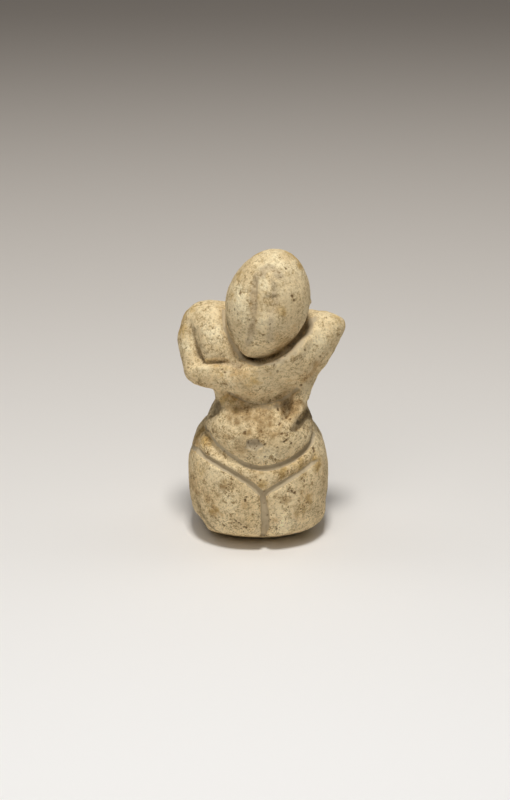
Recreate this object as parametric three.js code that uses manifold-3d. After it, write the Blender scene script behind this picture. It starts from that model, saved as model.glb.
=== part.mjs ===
// A small standing female figurine of fired clay, modelled as one solid piece.
// Millimetres, +Z up. The figure faces -Y, and +X is the viewer's right, so "left" and "right"
// in the names below are the viewer's too.
// The body is built up the way a modeller builds it: rounded lumps and rolls of clay are
// pressed together, the seams are smoothed over, and lines are then cut in with a round tool.

import * as THREE from "three";
import { mergeVertices } from "three/addons/utils/BufferGeometryUtils.js";
import Module from "manifold-3d";

const wasm = await Module();
wasm.setup();

// Driving dimensions. Heights are measured from the rim of the underside, which bulges below it.
const TOTAL_HEIGHT = 74;
const UNDERSIDE_BULGE = 2;
const HIP_WIDTH = 33.4;
const HIP_DEPTH = 28;
const HIP_HEIGHT = 12.5;
const BELLY_HEIGHT = 27.5;
const WAIST_HEIGHT = 33;
const ARM_HEIGHT = 42;
const SHOULDER_HEIGHT = 51;
const HEAD_WIDTH = 19.4;
const HEAD_TALL = 27;

// The skin of the clay is meshed in cells of this size: so many across, deep and tall, of which
// the lowest few lie below the floor.
const CELL = 1.9;
const CELLS = [24, 20, 42];
const BELOW_FLOOR = 3;
const EVENING_ROUNDS = 8;

const clay = new THREE.MeshStandardMaterial({ color: 0xc9b489, roughness: 0.9, metalness: 0 });

// A rounded lump: an ellipsoid, or with a squareness over 2 a fuller, boxier one. A tapered one
// narrows below its middle.
function lump({ at, size, lean = 0, squareness = 2, taper = 0 }) {
  const centre = new THREE.Vector3(...at);
  const radii = new THREE.Vector3(...size).multiplyScalar(0.5);
  const upright = new THREE.Quaternion().setFromAxisAngle(new THREE.Vector3(0, 1, 0), -lean);
  const q = new THREE.Vector3();
  return (p) => {
    q.copy(p).sub(centre).applyQuaternion(upright).divide(radii);
    const spread = 1 + taper * THREE.MathUtils.clamp(q.z, -1, 0);
    q.x /= spread;
    q.y /= spread;
    const parts = [q.x, q.y, q.z].map(Math.abs);
    const reach = parts.reduce((sum, part) => sum + part ** squareness, 0) ** (1 / squareness);
    if (reach < 1e-3) return -Math.min(radii.x, radii.y, radii.z);
    const slope = Math.hypot(
      ...parts.map((part, i) => (part / reach) ** (squareness - 1) / radii.getComponent(i)),
    );
    return (reach - 1) / slope;
  };
}

// A roll of clay between two points, thicker at one end than at the other.
function roll({ from, to, radii }) {
  const start = new THREE.Vector3(...from);
  const along = new THREE.Vector3(...to).sub(start);
  const q = new THREE.Vector3();
  return (p) => {
    q.copy(p).sub(start);
    const share = THREE.MathUtils.clamp(q.dot(along) / along.lengthSq(), 0, 1);
    return q.addScaledVector(along, -share).length() - THREE.MathUtils.lerp(...radii, share);
  };
}

// Two surfaces joined with the seam smoothed over by about the given width, and a surface with a
// tool's shape pressed out of it.
function smoothed(a, b, width) {
  const near = Math.max(width - Math.abs(a - b), 0) / width;
  return Math.min(a, b) - (near * near * width) / 4;
}

function pressed(a, tool, rim) {
  return -smoothed(-a, tool, rim);
}

// The lower body: the block of the hips and thighs, and the belly that lies on it like a cushion.
const HIP_MIDDLE = -0.6;
const hips = lump({
  at: [HIP_MIDDLE, 0.7, HIP_HEIGHT],
  size: [HIP_WIDTH, HIP_DEPTH, 36],
  squareness: 2.45,
});
const buttocks = [-1, 1].map((side) =>
  lump({ at: [HIP_MIDDLE + side * 7.2, 6.3, HIP_HEIGHT + 2], size: [17, 18, 22] }),
);
const belly = lump({
  at: [-0.2, -2.3, BELLY_HEIGHT - 0.4],
  size: [25.6, 22.5, 14.6],
  lean: THREE.MathUtils.degToRad(3),
  squareness: 2.1,
});

// The trunk: a narrow waist, the chest, and one roll laid across it for both shoulders.
const waist = lump({ at: [-0.3, 0.5, WAIST_HEIGHT], size: [18.5, 14.5, 26], squareness: 2.2 });
const chest = lump({ at: [-0.6, 0.6, 46], size: [25.5, 13.5, 20], squareness: 2.2 });
const shoulders = roll({
  from: [-11, 1.2, SHOULDER_HEIGHT - 0.3],
  to: [12.4, 1, SHOULDER_HEIGHT - 0.2],
  radii: [5.1, 3.3],
});
const rightFlank = roll({
  from: [15.4, 0.6, SHOULDER_HEIGHT - 0.6],
  to: [6, -1, WAIST_HEIGHT - 0.5],
  radii: [3.2, 3.6],
});

// The left arm hangs and is bent across the front. The right one slants down to meet it.
const leftShoulder = lump({ at: [-12.5, 1.2, SHOULDER_HEIGHT - 0.7], size: [12.6, 12, 13] });
const leftBreast = lump({ at: [-10, -2.8, 47.5], size: [10.8, 10.6, 18] });
const leftUpperArm = roll({
  from: [-16.6, 0.2, 48.3],
  to: [-15, -4.2, ARM_HEIGHT + 0.2],
  radii: [2.9, 3.1],
});
const leftForearm = roll({
  from: [-12.9, -5.5, ARM_HEIGHT],
  to: [-4, -7, ARM_HEIGHT - 0.4],
  radii: [3.5, 3.9],
});
const rightUpperArm = roll({
  from: [15.8, -0.2, SHOULDER_HEIGHT + 0.2],
  to: [8, -4, 45.5],
  radii: [3, 5],
});
const rightForearm = roll({
  from: [7.4, -4, ARM_HEIGHT + 3],
  to: [-2, -4.4, ARM_HEIGHT - 1],
  radii: [5, 5.4],
});

// The strands of clay that run down from the arms to the waist.
const rightStrand = roll({
  from: [10.2, -3.2, WAIST_HEIGHT + 6],
  to: [7, -8.6, WAIST_HEIGHT - 3.2],
  radii: [2.2, 1.2],
});
const leftStrand = roll({
  from: [-8.6, -3.2, WAIST_HEIGHT + 6],
  to: [-8.4, -6, WAIST_HEIGHT - 2],
  radii: [2.2, 1.8],
});

// The fingertip that pressed the slot between the left upper arm and the breast, widest at the elbow.
const slotBesideArm = roll({ from: [-16.8, -3.4, 53], to: [-16.2, -8.1, 46], radii: [0.5, 2.5] });

// The head is an egg that leans to the viewer's right and juts out over the chest.
const neck = roll({ from: [0.8, 1.2, SHOULDER_HEIGHT], to: [1.8, -2.2, 60], radii: [6.5, 6.8] });
const head = lump({
  at: [1.4, -4.6, TOTAL_HEIGHT - UNDERSIDE_BULGE - HEAD_TALL / 2 + 0.3],
  size: [HEAD_WIDTH, 18.5, HEAD_TALL],
  lean: THREE.MathUtils.degToRad(15),
  squareness: 1.9,
  taper: 0.06,
});

// What is pressed on to the hips, in this order, each with the width of its seam.
const pressedOn = [
  [buttocks[0], 3],
  [buttocks[1], 1.5],
  [belly, 1.2],
  [waist, 4],
  [chest, 5],
  [shoulders, 4],
  [leftShoulder, 3],
  [rightFlank, 3],
  [leftBreast, 3],
  [leftUpperArm, 1.2],
  [rightUpperArm, 3],
  [rightForearm, 2],
  [leftForearm, 1.5],
  [leftStrand, 2.5],
  [rightStrand, 1.8],
  [neck, 4],
];

// The underside is a shallow bowl with a small flat seat in its middle and a rim that is rounded
// off. A hollow runs round the front of the head, where it lies against the chest and the arms,
// and dies out at the nape.
const UNDERSIDE_EDGE = 1.3;
const UNDERSIDE_DROP = 2.8;
const RIM_WIDTH = 27.5;
const RIM_DEPTH = 23.5;
const HOLLOW = 1.6;
const HOLLOW_BACK = 3;

// The distance from a point to the skin of the body without the head, negative inside.
function body(p) {
  const kneaded = pressedOn.reduce((soFar, [piece, seam]) => smoothed(soFar, piece(p), seam), hips(p));
  const spread = Math.hypot((p.x - HIP_MIDDLE) / RIM_WIDTH, (p.y - 0.7) / RIM_DEPTH) * 2;
  const bowl = UNDERSIDE_DROP * Math.max(1 - spread ** 2, 0);
  const stood = pressed(kneaded, p.z + bowl, UNDERSIDE_EDGE);
  const hollow = HOLLOW * (1 - THREE.MathUtils.smoothstep(p.y, -HOLLOW_BACK, HOLLOW_BACK));
  const slotted = pressed(stood, slotBesideArm(p), 0.8);
  return pressed(slotted, Math.hypot(kneaded, head(p)) - hollow, HOLLOW);
}

// The way in which a distance grows fastest at a point.
const SLOPE_STEP = 0.05;
function slopeAt(p, distance) {
  const here = distance(p);
  const probe = new THREE.Vector3();
  return new THREE.Vector3(
    ...[0, 1, 2].map((axis) => {
      probe.copy(p).setComponent(axis, p.getComponent(axis) + SLOPE_STEP);
      return (distance(probe) - here) / SLOPE_STEP;
    }),
  );
}

// Moves a point straight along the slope until it lies on the skin.
const SETTLE_ROUNDS = 3;
function settle(p, distance) {
  for (let round = 0; round < SETTLE_ROUNDS; round++) {
    const slope = slopeAt(p, distance);
    const step = THREE.MathUtils.clamp(distance(p) / slope.lengthSq(), -CELL, CELL);
    p.addScaledVector(slope, -step);
  }
  return p;
}

// The skin of a mass of clay as a closed mesh. Space is divided into cells: each cell that the skin
// passes through gets one corner, and each cell edge that the skin cuts gets a four-sided face.
function meshed(distance) {
  const [across, deep, tall] = CELLS;
  const origin = new THREE.Vector3(-across / 2, -deep / 2, -BELOW_FLOOR).multiplyScalar(CELL);
  const gridPoint = (i, j, k) => new THREE.Vector3(i, j, k).multiplyScalar(CELL).add(origin);
  const number = (i, j, k) => (k * (deep + 1) + j) * (across + 1) + i;
  const inside = new Uint8Array(number(across, deep, tall) + 1);
  for (let k = 0; k <= tall; k++)
    for (let j = 0; j <= deep; j++)
      for (let i = 0; i <= across; i++) inside[number(i, j, k)] = distance(gridPoint(i, j, k)) < 0;

  const corners = [];
  const cornerOf = new Map();
  for (let k = 0; k < tall; k++)
    for (let j = 0; j < deep; j++)
      for (let i = 0; i < across; i++) {
        let count = 0;
        for (let c = 0; c < 8; c++) {
          count += inside[number(i + (c & 1), j + ((c >> 1) & 1), k + (c >> 2))];
        }
        if (count === 0 || count === 8) continue;
        cornerOf.set(number(i, j, k), corners.length);
        corners.push(settle(gridPoint(i + 0.5, j + 0.5, k + 0.5), distance));
      }

  const faces = [];
  const steps = [[1, 0, 0], [0, 1, 0], [0, 0, 1]];
  for (let k = 1; k < tall; k++)
    for (let j = 1; j < deep; j++)
      for (let i = 1; i < across; i++)
        steps.forEach(([x, y, z], axis) => {
          const here = inside[number(i, j, k)];
          if (here === inside[number(i + x, j + y, k + z)]) return;
          const [u, v] = [steps[(axis + 1) % 3], steps[(axis + 2) % 3]];
          const around = [[0, 0], [1, 0], [1, 1], [0, 1]].map(([a, b]) =>
            cornerOf.get(number(i - a * u[0] - b * v[0], j - a * u[1] - b * v[1], k - a * u[2] - b * v[2])),
          );
          const [p, q, r, s] = here ? around : around.reverse();
          faces.push(p, q, r, p, r, s);
        });

  const geometry = new THREE.BufferGeometry().setFromPoints(corners);
  geometry.setIndex(faces);
  evenOut(geometry, distance);
  return geometry;
}

// Moves each corner to the middle of its neighbours and back onto the skin.
function evenOut(geometry, distance) {
  const place = geometry.attributes.position;
  const index = geometry.index.array;
  const neighbours = Array.from({ length: place.count }, () => new Set());
  for (let t = 0; t < index.length; t += 3)
    for (let c = 0; c < 3; c++) {
      neighbours[index[t + c]].add(index[t + ((c + 1) % 3)]);
      neighbours[index[t + c]].add(index[t + ((c + 2) % 3)]);
    }
  const point = new THREE.Vector3();
  for (let round = 0; round < EVENING_ROUNDS; round++) {
    const moved = neighbours.map((around) => {
      const mean = new THREE.Vector3();
      around.forEach((n) => mean.add(point.fromBufferAttribute(place, n)));
      return settle(mean.divideScalar(around.size), distance);
    });
    moved.forEach((p, i) => place.setXYZ(i, p.x, p.y, p.z));
  }
}

// A three.js geometry as a manifold-3d solid, and back.
function solid(geometry) {
  const bare = geometry.clone();
  bare.deleteAttribute("normal");
  bare.deleteAttribute("uv");
  const merged = mergeVertices(bare, 1e-4);
  return new wasm.Manifold(
    new wasm.Mesh({
      numProp: 3,
      vertProperties: merged.attributes.position.array,
      triVerts: new Uint32Array(merged.index.array),
    }),
  );
}

function geometryOf(manifold) {
  const mesh = manifold.getMesh();
  const geometry = new THREE.BufferGeometry();
  geometry.setAttribute("position", new THREE.BufferAttribute(mesh.vertProperties, 3));
  geometry.setIndex(new THREE.BufferAttribute(mesh.triVerts, 1));
  geometry.computeVertexNormals();
  return geometry;
}

// The point of the clay at a turn round the body's upright axis and a height, moved outwards.
// A turn of 0 is the front and 90 degrees the viewer's right.
const REACH = 30;
function onClay([turn, height], outwards) {
  const angle = THREE.MathUtils.degToRad(turn);
  const away = new THREE.Vector3(Math.sin(angle), -Math.cos(angle), 0);
  const p = new THREE.Vector3(0, 0, height).addScaledVector(away, REACH);
  const clayOf = (q) => Math.min(body(q), head(q));
  while (clayOf(p) > 0.01) p.addScaledVector(away, -0.5 * clayOf(p));
  return p.addScaledVector(slopeAt(p, clayOf).normalize(), outwards);
}

// A round tool's radius, where it leaves a line or a pit of this width and depth.
function toolRadius(width, depth) {
  return (width ** 2 / 4 + depth ** 2) / (2 * depth);
}

// A line cut with a round tool along [turn, height] points of the clay. A third number at a point
// is the share of the depth that the tool has there, so that a line can fade out at its ends.
const TOOL_SIDES = 7;
const TOOL_STEP = 2.1;
function groove(points, width, depth) {
  const radius = toolRadius(width, depth);
  const path = new THREE.CatmullRomCurve3(
    points.map(([turn, height, share = 1]) => onClay([turn, height], radius - share * depth)),
  );
  const section = new THREE.Shape().absellipse(0, 0, radius, radius, 0, 2 * Math.PI);
  const tool = new THREE.ExtrudeGeometry(section, {
    steps: Math.ceil(path.getLength() / TOOL_STEP),
    extrudePath: path,
    curveSegments: TOOL_SIDES,
  });
  return solid(tool);
}

// The points of a line that hangs between two turns, lowest at the front, and fades at its ends.
function hanging({ turns: [first, last], lowest, rise, power }) {
  const count = 11;
  return Array.from({ length: count }, (_, i) => {
    const turn = THREE.MathUtils.lerp(first, last, i / (count - 1));
    const share = i === 0 || i === count - 1 ? 0 : 1;
    return [turn, lowest + rise * Math.abs(turn / first) ** power, share];
  });
}

// A round pit pushed in at one point of the clay.
function pit(point, width, depth) {
  const radius = toolRadius(width, depth);
  const ball = new THREE.SphereGeometry(radius, 12, 8);
  return solid(ball.translate(...onClay(point, radius - depth)));
}

// A flake broken away: all that lies beyond a flat face through a point.
const FLAKE = 14;
function chip(at, facing) {
  const outwards = new THREE.Vector3(...facing).normalize();
  const block = new THREE.BoxGeometry(FLAKE, FLAKE, FLAKE).translate(0, 0, FLAKE / 2);
  block.applyQuaternion(new THREE.Quaternion().setFromUnitVectors(new THREE.Vector3(0, 0, 1), outwards));
  return solid(block.translate(...at));
}

const cuts = {
  underBelly: groove(hanging({ turns: [-90, 90], lowest: 20.4, rise: 8, power: 1.6 }), 2, 0.9),
  underArms: groove(hanging({ turns: [-58, 58], lowest: 34.8, rise: 3.6, power: 2.3 }), 1.8, 0.8),
  leftGroin: groove([[-82, 22.4, 0], [-62, 21.6], [-42, 20.5], [-20, 18.2], [-8, 16.3], [2, 14]], 1.7, 0.8),
  rightGroin: groove([[68, 21.6, 0], [52, 20.2], [38, 19], [24, 17.4], [12, 15.8], [2, 14]], 1.7, 0.8),
  thighs: groove([[2, 14.6], [3, 11], [4.5, 7], [4.5, 3.5], [4, 0.5]], 2.1, 0.9),
  besideStrand: groove([[48, 37.2, 0], [42, 35], [38, 33.4], [35, 31.6, 0]], 2.6, 1),
  belowStrand: groove([[84, 31.8, 0], [64, 31.6], [48, 31], [32, 29.6, 0]], 2.6, 1.2),
  upperArm: groove([[-84, 54, 0], [-78, 51, 0.6], [-74, 48.8, 0.9], [-69, 46.6], [-65, 45.2]], 2.2, 1.5),
  alongForearm: groove([[-70, 44.4, 0], [-60, 45.1], [-50, 45.5], [-38, 45.2, 0.6], [-26, 44.8, 0]], 2, 1),
  besideNose: groove([[-8, 67.5, 0], [-7.5, 63], [-8, 58.4], [-10, 54], [-14, 51, 0]], 2, 0.4),
  acrossNose: groove([[11, 67.5, 0], [13, 64.2], [11, 61.4], [6, 59, 0]], 2, 0.4),
  spine: groove([[178, 54, 0], [180, 46], [180, 40], [180, 32, 0]], 3.4, 0.6),
  buttockCleft: groove([[180, 26, 0], [180, 20], [180, 13], [180, 4, 0]], 2.2, 1.1),
  navel: pit([-7, 27.4], 3.4, 0.9),
  brokenCorner: chip([-14.6, -4.3, 4.2], [-0.86, -0.26, -0.43]),
};

const FLOOR = 80;
const floor = solid(
  new THREE.BoxGeometry(FLOOR, FLOOR, FLOOR).translate(0, 0, -FLOOR / 2 - UNDERSIDE_BULGE),
);
const joined = solid(meshed(body)).add(solid(meshed(head))).subtract(floor);
const figure = Object.values(cuts).reduce((soFar, cut) => soFar.subtract(cut), joined);

const figurine = new THREE.Mesh(geometryOf(figure), clay);
figurine.name = "figurine";

// The origin lies on the seat, below the middle of the figure.
figurine.geometry.computeBoundingBox();
const middle = figurine.geometry.boundingBox.getCenter(new THREE.Vector3());
figurine.position.set(-middle.x, -middle.y, UNDERSIDE_BULGE);

const group = new THREE.Group();
group.add(figurine);

export default group;
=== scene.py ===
# %% [markdown]
# # A small clay figure, from the solid to the worn surface
#
# The real object is a lump of pale clay, pressed and rolled into a standing woman with folded arms,
# cut with a round tool and fired. Centuries in the ground left it gritty, pitted and stained. The
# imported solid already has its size, pose and main carving. This lesson lays a fine skin over that
# solid, works the skin as a modeller works clay, and gives it a finish made only of shader nodes.
#
# The first cell loads the solid as a fixed frame. Everything after it is in metres, +Z up.

import math
import random

import bpy
import numpy as np
from mathutils import Matrix, Vector, noise
from mathutils.bvhtree import BVHTree
from mathutils.kdtree import KDTree


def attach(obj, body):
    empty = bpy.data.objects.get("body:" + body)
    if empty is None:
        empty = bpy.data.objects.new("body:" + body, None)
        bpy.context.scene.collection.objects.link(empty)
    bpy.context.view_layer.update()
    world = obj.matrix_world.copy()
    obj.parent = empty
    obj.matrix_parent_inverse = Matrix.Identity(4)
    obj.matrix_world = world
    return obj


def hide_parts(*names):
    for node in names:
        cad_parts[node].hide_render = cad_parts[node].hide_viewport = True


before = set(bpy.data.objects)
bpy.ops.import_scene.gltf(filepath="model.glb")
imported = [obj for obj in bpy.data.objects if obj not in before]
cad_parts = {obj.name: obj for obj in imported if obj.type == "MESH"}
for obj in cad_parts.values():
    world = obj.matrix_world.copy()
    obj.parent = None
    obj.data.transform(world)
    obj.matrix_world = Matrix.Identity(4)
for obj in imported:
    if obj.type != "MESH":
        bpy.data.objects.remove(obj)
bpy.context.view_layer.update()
MM = 0.001

# %% [markdown]
# ## The camera, and what a pixel of the photograph sees
#
# The photograph looks down on the figure by 25 degrees, from about half a metre, with a long lens.
# A camera could be matched by eye in the viewport. Here its place comes from the angle and the
# distance, so that a pixel of the photograph can be turned into a line of sight, which later puts a
# pit or a tool mark on the skin just where the photograph shows it.

# %% Camera
PHOTO_WIDE = 510
PHOTO_HIGH = 800
LENS = 100.0
SENSOR = 36.0
LOOKS_DOWN = math.radians(25)
STANDS_OFF = 524 * MM
LOOKS_AT = Vector((-1.355, -0.865, 34.4)) * MM

eye = LOOKS_AT + STANDS_OFF * Vector((0, -math.cos(LOOKS_DOWN), math.sin(LOOKS_DOWN)))
turn = (math.pi / 2 - LOOKS_DOWN, 0, 0)
bpy.ops.object.camera_add(location=eye, rotation=turn)
camera = bpy.context.object
camera.data.lens = LENS
camera.data.sensor_width = SENSOR
camera.data.clip_start = 10 * MM
camera.data.clip_end = 10
bpy.context.scene.camera = camera
camera_turn = Matrix.Rotation(turn[0], 3, "X")


def sight(pixel):
    """The direction in which a pixel (across, down) of the photograph looks from the camera."""
    reach = LENS / SENSOR * PHOTO_HIGH
    across = (pixel[0] - PHOTO_WIDE / 2) / reach
    up = (PHOTO_HIGH / 2 - pixel[1]) / reach
    return (camera_turn @ Vector((across, up, -1))).normalized()


print("camera at", [round(value / MM) for value in eye], "mm")

# %% [markdown]
# ## Light and floor
#
# The photograph has two kinds of shadow. The dark crescent under the front edge has a crisp outline, so
# it comes from a small lamp, nearly overhead and a little in front. The shadows at both sides are
# soft, so a wide strip hangs above as well, and a weak lamp in front fills the face. The floor is one
# plane whose colour darkens with its distance: painted shade, standing in for the light that falls off
# where a paper sweep curves up.

# %% Palette helper
def paint(red, green, blue):
    """A colour named by its screen values from 0 to 255, as the linear colour that a shader takes."""
    linear = []
    for value in (red, green, blue):
        share = value / 255
        linear.append(share / 12.92 if share <= 0.04045 else ((share + 0.055) / 1.055) ** 2.4)
    return (*linear, 1.0)


print("a middle grey on screen is", round(paint(128, 128, 128)[0], 3), "to a shader")

# %% Lamps and world
bpy.context.scene.view_settings.view_transform = "Standard"


def soft_lamp(name, place, size, watts, tint):
    """An area light, its size in metres, that points at the middle of the figure."""
    bpy.ops.object.light_add(type="AREA", location=place)
    lamp = bpy.context.object
    lamp.name = name
    lamp.rotation_euler = (LOOKS_AT - lamp.location).to_track_quat("-Z", "Y").to_euler()
    lamp.data.shape = "RECTANGLE"
    lamp.data.size, lamp.data.size_y = size
    lamp.data.energy = watts
    lamp.data.color = tint
    return lamp


overhead = soft_lamp("overhead", Vector((0, -200, 690)) * MM, (0.11, 0.11), 3.2, (1.0, 0.99, 0.97))
strip = soft_lamp("strip", Vector((0, 80, 600)) * MM, (1.2, 0.2), 1.0, (1.0, 0.99, 0.975))
front_lamp = soft_lamp("front_lamp", Vector((-130, -400, 600)) * MM, (0.4, 0.4), 0.85, (1.0, 0.985, 0.96))

world = bpy.data.worlds.new("studio")
world.use_nodes = True
world.node_tree.nodes["Background"].inputs["Color"].default_value = paint(236, 238, 242)
world.node_tree.nodes["Background"].inputs["Strength"].default_value = 0.03
bpy.context.scene.world = world
print("lamps:", [round(lamp.data.energy, 2) for lamp in (overhead, strip, front_lamp)], "W")

# %% [markdown]
# ## Shader maths as plain expressions
#
# A pattern is easier to read as `stains * 0.6 + grains` than as a chain of Math nodes. The small
# class below holds one socket, and each sign adds the node that does that sum. A second class makes
# any other node from its type, its settings and the values of its sockets.

# %% A number of a material
class Value:
    """One number of a material, which the usual signs can be applied to."""

    def __init__(self, finish, socket):
        self.finish = finish
        self.socket = socket

    def sum(self, operation, *terms):
        return self.finish.node("ShaderNodeMath", {"operation": operation}, dict(enumerate(terms)))

    def __add__(self, other):
        return self.sum("ADD", self, other)

    def __sub__(self, other):
        return self.sum("SUBTRACT", self, other)

    def __rsub__(self, other):
        return self.sum("SUBTRACT", other, self)

    def __mul__(self, other):
        return self.sum("MULTIPLY", self, other)

    def __pow__(self, other):
        return self.sum("POWER", self, other)

    def at_most(self, limit):
        return self.sum("MINIMUM", self, limit)

    def between(self, low, high):
        """0 below low, 1 above high, and a smooth slope between them."""
        span = {"interpolation_type": "SMOOTHSTEP"}
        return self.finish.node("ShaderNodeMapRange", span, {0: self, 1: low, 2: high, 3: 0.0, 4: 1.0})

    __radd__ = __add__
    __rmul__ = __mul__


print("signs that a value knows: + - * **")

# %% A material and its nodes
class Finish:
    """A material, and the few ways in which this lesson adds nodes to it."""

    def __init__(self, name):
        self.material = bpy.data.materials.new(name)
        self.material.use_nodes = True
        self.tree = self.material.node_tree
        self.shader = self.tree.nodes["Principled BSDF"]

    def node(self, kind, settings, sockets, output=0):
        """Adds a node, first its settings and then its sockets' values or links."""
        made = self.tree.nodes.new(kind)
        for name, value in settings.items():
            setattr(made, name, value)
        self.fill(made, sockets)
        return Value(self, made.outputs[output])

    def fill(self, made, sockets):
        for name, value in sockets.items():
            if isinstance(value, Value):
                self.tree.links.new(value.socket, made.inputs[name])
            else:
                made.inputs[name].default_value = value

    def place(self):
        """Where on the object a point lies, in metres."""
        return self.node("ShaderNodeTexCoord", {}, {}, "Object")

    def mix(self, share, first, second, blend="MIX"):
        """Colour first where share is 0, and colour second where it is 1."""
        settings = {"data_type": "RGBA", "blend_type": blend}
        return self.node("ShaderNodeMix", settings, {0: share, 6: first, 7: second}, 2)

    def noise(self, place, size, detail=2.0, roughness=0.5, twist=0.0):
        """Soft noise from 0 to 1 whose lumps are about size metres across."""
        sockets = {"Vector": place, "Scale": 1 / size, "Detail": detail}
        sockets.update({"Roughness": roughness, "Distortion": twist})
        return self.node("ShaderNodeTexNoise", {}, sockets)

    def painted(self, name):
        """A mask that the script has painted on the mesh."""
        return self.node("ShaderNodeAttribute", {"attribute_name": name}, {}, "Fac")


print("a finish starts from", Finish("trial").shader.bl_label)
bpy.data.materials.remove(bpy.data.materials["trial"])

# %% Floor
FLOOR_NEAR = -0.6
FLOOR_FAR = 1.2
FLOOR_WIDE = 2.4
# Painted shade: the floor's colour darkens from front to back in place of light falloff.
SWEEP_FALLOFF_SHADE = (
    (-0.10, paint(246, 245, 244)),
    (0.00, paint(238, 235, 231)),
    (0.14, paint(223, 217, 210)),
    (0.30, paint(210, 202, 193)),
    (0.47, paint(164, 155, 146)),
)

bpy.ops.object.select_all(action="DESELECT")
bpy.ops.mesh.primitive_plane_add(size=1, location=(0, 0, 0))
floor = bpy.context.object
floor.name = "sweep"
bpy.ops.object.mode_set(mode="EDIT")
bpy.ops.transform.resize(value=(FLOOR_WIDE, FLOOR_FAR - FLOOR_NEAR, 1))
bpy.ops.transform.translate(value=(0, (FLOOR_NEAR + FLOOR_FAR) / 2, 0))
bpy.ops.mesh.subdivide(number_cuts=8)
bpy.ops.object.mode_set(mode="OBJECT")

sweep = Finish("sweep_paper")
depth = sweep.node("ShaderNodeSeparateXYZ", {}, {0: sweep.place()}, "Y")
ramp = sweep.tree.nodes.new("ShaderNodeValToRGB")
ramp.color_ramp.interpolation = "B_SPLINE"
far_share = (depth - FLOOR_NEAR) * (1 / (FLOOR_FAR - FLOOR_NEAR))
sweep.fill(ramp, {0: far_share})
stops = ramp.color_ramp.elements
for number, (distance, tone) in enumerate(SWEEP_FALLOFF_SHADE):
    stop = stops[number] if number < 2 else stops.new(0.5)
    stop.position = (distance - FLOOR_NEAR) / (FLOOR_FAR - FLOOR_NEAR)
    stop.color = tone
sweep.fill(sweep.shader, {"Base Color": Value(sweep, ramp.outputs[0])})
sweep.shader.inputs["Roughness"].default_value = 0.9
sweep.shader.inputs["Specular IOR Level"].default_value = 0.1
floor.data.materials.append(sweep.material)
print("floor from", FLOOR_NEAR, "to", FLOOR_FAR, "m")

# %% [markdown]
# ## A fine skin over the solid
#
# The solid has about ten thousand flat faces. A real surface of clay has none, and needs points close
# enough together to take a pit of half a millimetre. A subdivision surface would follow the long thin
# faces left by the cuts, so the copy is remeshed in even voxels instead and then smoothed, which
# rounds off the facets and keeps the form.

# %% Voxel skin
VOXEL = 0.32 * MM
FACET_ROUNDING = 14

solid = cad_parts["figurine"]
figure = bpy.data.objects.new("clay_figure", solid.data.copy())
bpy.context.scene.collection.objects.link(figure)
bpy.ops.object.select_all(action="DESELECT")
figure.select_set(True)
bpy.context.view_layer.objects.active = figure
figure.data.materials.clear()

bpy.ops.object.mode_set(mode="EDIT")
bpy.ops.mesh.select_all(action="SELECT")
bpy.ops.mesh.remove_doubles(threshold=0.001 * MM)
bpy.ops.object.mode_set(mode="OBJECT")

voxels = figure.modifiers.new("voxels", "REMESH")
voxels.mode = "VOXEL"
voxels.voxel_size = VOXEL
bpy.ops.object.modifier_apply(modifier=voxels.name)

rounding = figure.modifiers.new("rounding", "SMOOTH")
rounding.factor = 0.5
rounding.iterations = FACET_ROUNDING
bpy.ops.object.modifier_apply(modifier=rounding.name)
print("skin:", len(figure.data.vertices), "points,", len(figure.data.polygons), "quads")

# %% [markdown]
# ## Hands on the clay
#
# Sculpting is moving many points a little. By hand it is done with brushes in sculpt mode. Here each
# brush is a short function on arrays of all the points, so that a stroke can be named, placed by a
# few pixels of the photograph and cut to a width and depth in millimetres. Depth is kept apart from
# place until the end: strokes that cross don't cut twice as deep.

# %% The skin as arrays
SEARCH = 45 * MM
SEARCH_STEPS = 181


class Skin:
    """The figure's points, their outward directions, how deep each is cut and what lies on it."""

    def __init__(self, piece):
        mesh = piece.data
        count = len(mesh.vertices)
        self.points = np.empty(count * 3)
        mesh.vertices.foreach_get("co", self.points)
        self.points = self.points.reshape(-1, 3)
        self.outward = np.empty(count * 3)
        mesh.vertex_normals.foreach_get("vector", self.outward)
        self.outward = self.outward.reshape(-1, 3)
        self.cut = np.zeros(count)
        self.swell = np.zeros(count)
        self.masks = {}
        faces = [tuple(face.vertices) for face in mesh.polygons]
        self.surface = BVHTree.FromPolygons([Vector(p) for p in self.points], faces)

    def spot(self, pixel):
        """The place on the skin that a pixel of the photograph shows, or the nearest one to its line."""
        direction = sight(pixel)
        hit = self.surface.ray_cast(eye, direction)[0]
        if hit is not None:
            return hit
        steps = np.linspace(STANDS_OFF - SEARCH, STANDS_OFF + SEARCH, SEARCH_STEPS)
        found = [self.surface.find_nearest(eye + direction * float(step)) for step in steps]
        return min(found, key=lambda nearest: nearest[3])[0]

    def line(self, pixels, step=0.2 * MM):
        """A smooth line on the skin through pixels of the photograph, as close points."""
        places = [self.spot(pixel) for pixel in pixels]
        ends = [2 * places[0] - places[1], *places, 2 * places[-1] - places[-2]]
        points = []
        for before, start, end, after in zip(ends, ends[1:], ends[2:], ends[3:]):
            count = max(2, math.ceil((end - start).length / step))
            for number in range(count):
                along = number / count
                curved = 2 * start + (end - before) * along
                curved += (2 * before - 5 * start + 4 * end - after) * along**2
                curved += (3 * start - before - 3 * end + after) * along**3
                points.append(self.surface.find_nearest(curved / 2)[0])
        points.append(places[-1])
        return np.array(points)

    def mask(self, name):
        return self.masks.setdefault(name, np.zeros(len(self.points)))


skin = Skin(figure)
print("skin reaches", (skin.points.max(0) / MM).round(2), "mm")

# %% Noise over the skin
def lumps(size, seed, octaves=1):
    """Smooth noise from about -1 to 1 over all the skin, with lumps about size metres across."""
    shift = Vector((seed * 13.7, seed * 5.1, seed * 9.3))
    places = [Vector(p) / size + shift for p in skin.points]
    if octaves == 1:
        return np.array([noise.noise(p) for p in places])
    return np.array([noise.fractal(p, 0.8, 2.0, octaves) for p in places])


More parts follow.
